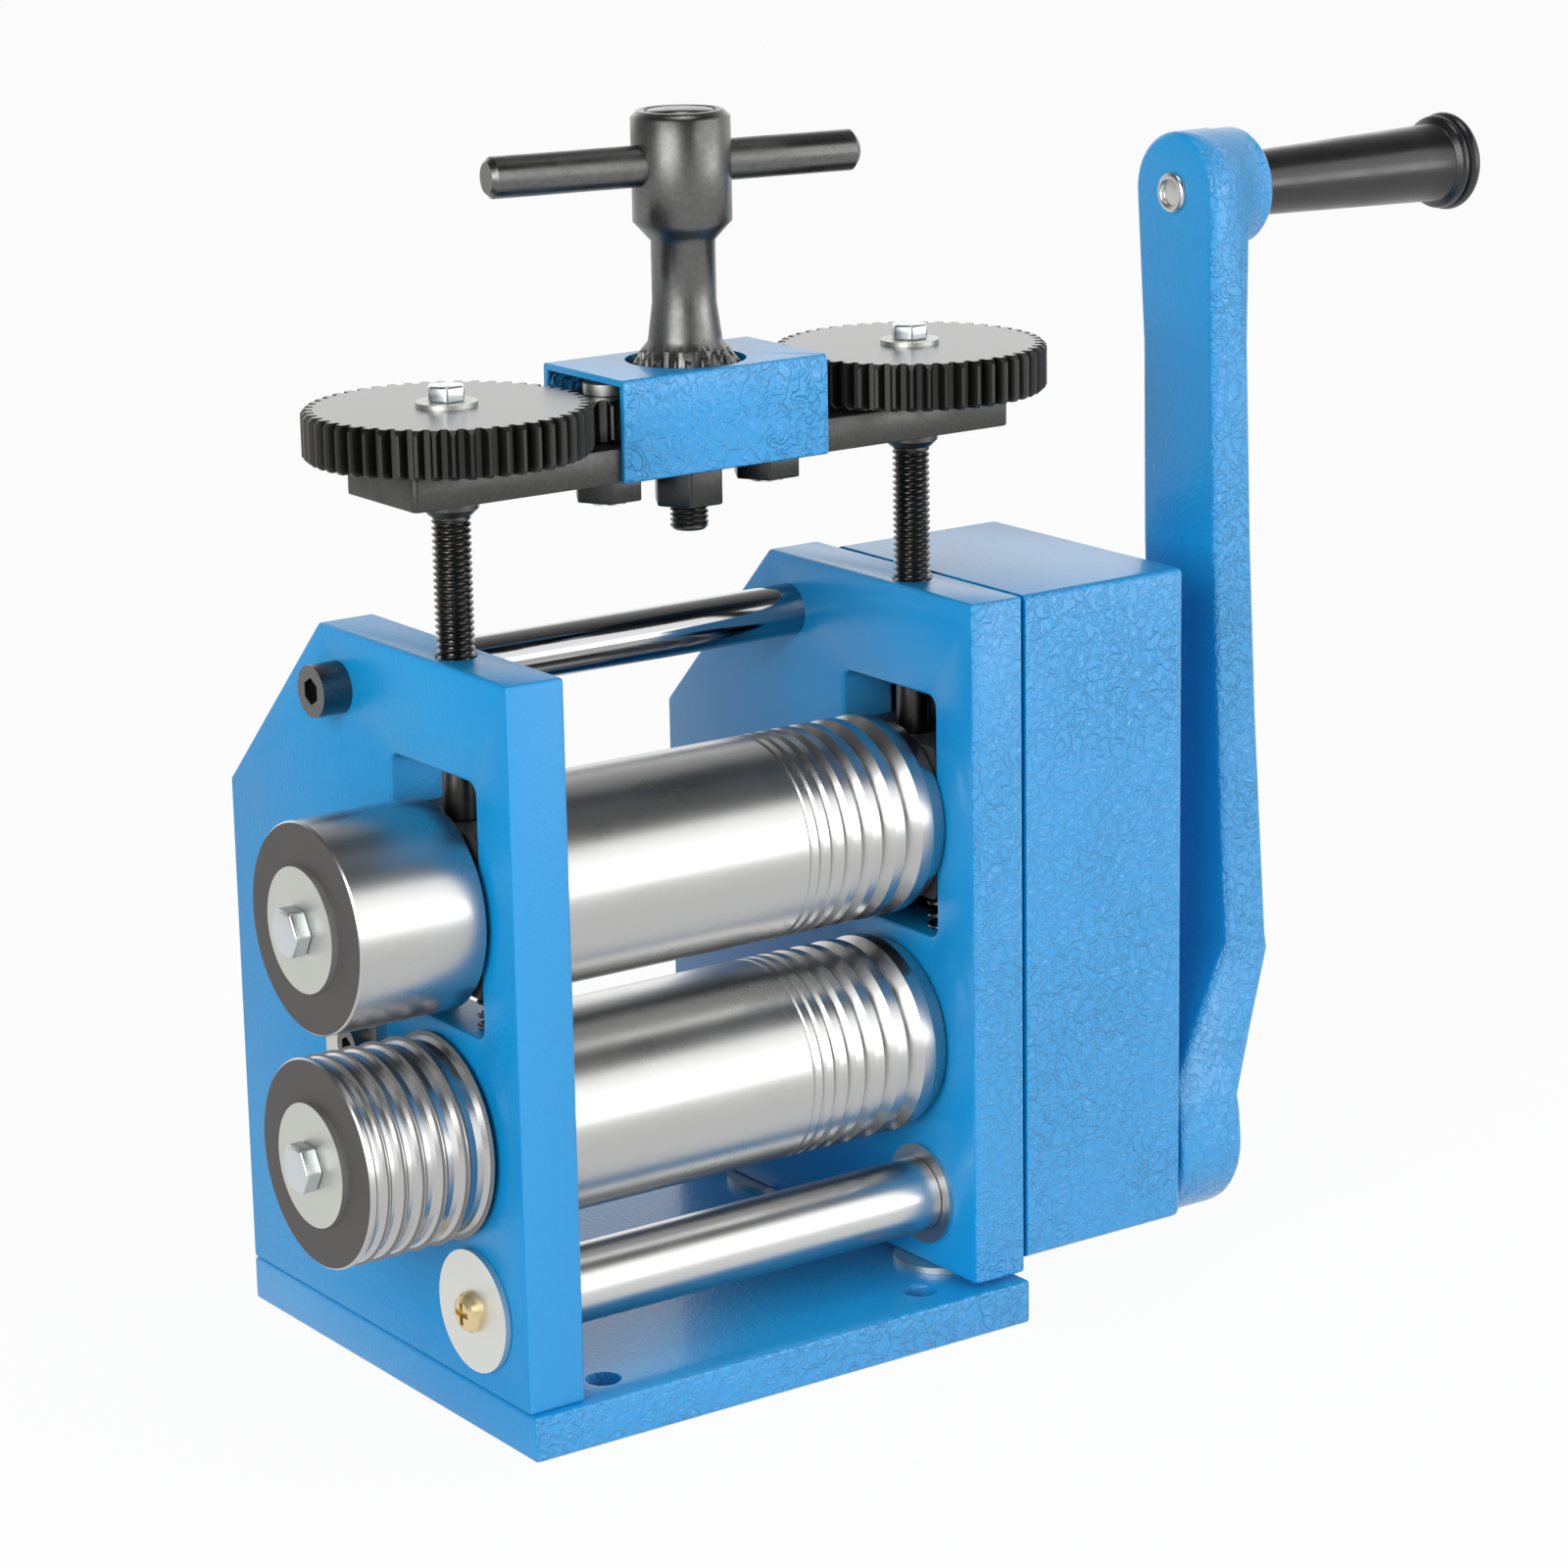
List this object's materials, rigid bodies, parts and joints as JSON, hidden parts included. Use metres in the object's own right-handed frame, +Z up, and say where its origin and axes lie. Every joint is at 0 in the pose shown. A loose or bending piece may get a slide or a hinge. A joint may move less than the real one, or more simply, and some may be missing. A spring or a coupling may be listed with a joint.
{
  "type": "jewellers rolling mill",
  "caption": "Hand cranked bench rolling mill with flat, square wire and half round rolls, and a T handle that sets the gap through geared screws.",
  "frame": {"origin": "centre of the four bench bolt holes, at the underside of the base", "axes": "+X along the rolls towards the gearbox and crank, +Y to the back, +Z up"},
  "size_m": [0.3473, 0.132, 0.2992],
  "materials": {
    "blue_paint": "gloss hammered",
    "polished_steel": "polished",
    "turned_steel": "turned",
    "gear_steel": "machined",
    "black_oxide": "black oxide, oiled",
    "zinc": "zinc plated",
    "yellow_zinc": "yellow zinc plated",
    "bronze": "machined",
    "cast_block": "machined",
    "black_plastic": "gloss"
  },
  "bodies": {
    "frame": {"base_plate": "blue_paint", "left_side_plate": "blue_paint", "right_side_plate": "blue_paint", "plate_bolts": "black_oxide", "shim_washers": "zinc", "tie_rod": "polished_steel", "tie_rod_screws": "black_oxide", "gearbox_cover": "blue_paint", "gearbox_posts": "zinc", "gearbox_screws": "black_oxide", "lower_bearing_bushes": "bronze", "crank_bushes": "bronze", "keeper_plate": "zinc", "keeper_bolt": "black_oxide", "return_springs": "black_oxide"},
    "crank_set": {"crank_shaft": "turned_steel", "drive_pinion": "gear_steel", "crank_arm": "blue_paint", "crank_keys": "turned_steel", "crank_bolt": "zinc", "shaft_end_washer": "zinc", "shaft_end_screw": "yellow_zinc", "grip_pin": "turned_steel"},
    "grip_set": {"hand_grip": "black_plastic"},
    "lower_roll_set": {"lower_roll": "polished_steel", "lower_outer_roll": "polished_steel", "lower_roll_washer": "zinc", "lower_roll_bolt": "zinc", "lower_roll_gear": "gear_steel", "drive_gear": "gear_steel", "lower_roll_keys": "turned_steel", "lower_circlip": "black_oxide"},
    "upper_carriage": {"left_bearing_block": "cast_block", "right_bearing_block": "cast_block", "upper_bearing_bushes": "bronze"},
    "upper_roll_set": {"upper_roll": "polished_steel", "upper_outer_roll": "polished_steel", "upper_roll_washer": "zinc", "upper_roll_bolt": "zinc", "upper_roll_gear": "gear_steel", "upper_roll_keys": "turned_steel", "upper_circlip": "black_oxide"},
    "head": {"carrier_bar": "black_oxide", "head_cover": "blue_paint", "head_cover_screws": "zinc", "idler_bolts": "turned_steel", "idler_nuts": "black_oxide"},
    "t_handle_set": {"t_spindle": "black_oxide", "cross_bar": "black_oxide", "centre_nut": "black_oxide"},
    "left_idler_set": {"left_idler_gear": "gear_steel"},
    "right_idler_set": {"right_idler_gear": "gear_steel"},
    "left_screw_set": {"left_screw": "black_oxide", "left_screw_gear": "gear_steel", "left_gear_washer": "zinc", "left_gear_bolt": "zinc"},
    "right_screw_set": {"right_screw": "black_oxide", "right_screw_gear": "gear_steel", "right_gear_washer": "zinc", "right_gear_bolt": "zinc"}
  },
  "joints": [
    {"name": "crank", "type": "hinge", "parent": "frame", "child": "crank_set", "pos_m": [0, -0.0425, 0.03043], "axis": [1, 0, 0], "continuous": true},
    {"name": "grip_spin", "type": "hinge", "parent": "crank_set", "child": "grip_set", "pos_m": [0.2, -0.03174, 0.26749], "axis": [1, 0, 0], "continuous": true},
    {"name": "lower_roll_spin", "type": "hinge", "parent": "frame", "child": "lower_roll_set", "pos_m": [0, -0.0305, 0.07], "axis": [1, 0, 0], "continuous": true},
    {"name": "upper_roll_height", "type": "slide", "parent": "frame", "child": "upper_carriage", "axis": [0, 0, 1], "range_m": [-0.00631, 0.00055], "deforming": ["return_springs"]},
    {"name": "upper_roll_spin", "type": "hinge", "parent": "upper_carriage", "child": "upper_roll_set", "pos_m": [0, -0.0305, 0.1255], "axis": [1, 0, 0], "continuous": true},
    {"name": "head_height", "type": "slide", "parent": "frame", "child": "head", "axis": [0, 0, 1], "range_m": [-0.0063, 0.00054]},
    {"name": "t_handle", "type": "hinge", "parent": "head", "child": "t_handle_set", "pos_m": [0, -0.0305, 0.25], "axis": [0, 0, 1], "range_deg": [-4201, 361]},
    {"name": "left_idler_spin", "type": "hinge", "parent": "head", "child": "left_idler_set", "pos_m": [-0.022, -0.0305, 0.232], "axis": [0, 0, 1], "range_deg": [-383, 4449]},
    {"name": "right_idler_spin", "type": "hinge", "parent": "head", "child": "right_idler_set", "pos_m": [0.022, -0.0305, 0.232], "axis": [0, 0, 1], "range_deg": [-383, 4449]},
    {"name": "left_screw_turn", "type": "hinge", "parent": "head", "child": "left_screw_set", "pos_m": [-0.064, -0.0305, 0.2], "axis": [0, 0, 1], "range_deg": [-1513, 130]},
    {"name": "right_screw_turn", "type": "hinge", "parent": "head", "child": "right_screw_set", "pos_m": [0.064, -0.0305, 0.2], "axis": [0, 0, 1], "range_deg": [-1513, 130]}
  ],
  "couplings": [
    {"joint": "lower_roll_spin", "follows": "crank", "ratio": -0.375},
    {"joint": "upper_roll_spin", "follows": "crank", "ratio": 0.375},
    {"joint": "upper_roll_height", "follows": "head_height", "ratio": 1},
    {"joint": "t_handle", "follows": "head_height", "rad_per_m": 11636},
    {"joint": "left_idler_spin", "follows": "head_height", "rad_per_m": -12320},
    {"joint": "right_idler_spin", "follows": "head_height", "rad_per_m": -12320},
    {"joint": "left_screw_turn", "follows": "head_height", "rad_per_m": 4188.8},
    {"joint": "right_screw_turn", "follows": "head_height", "rad_per_m": 4188.8}
  ]
}
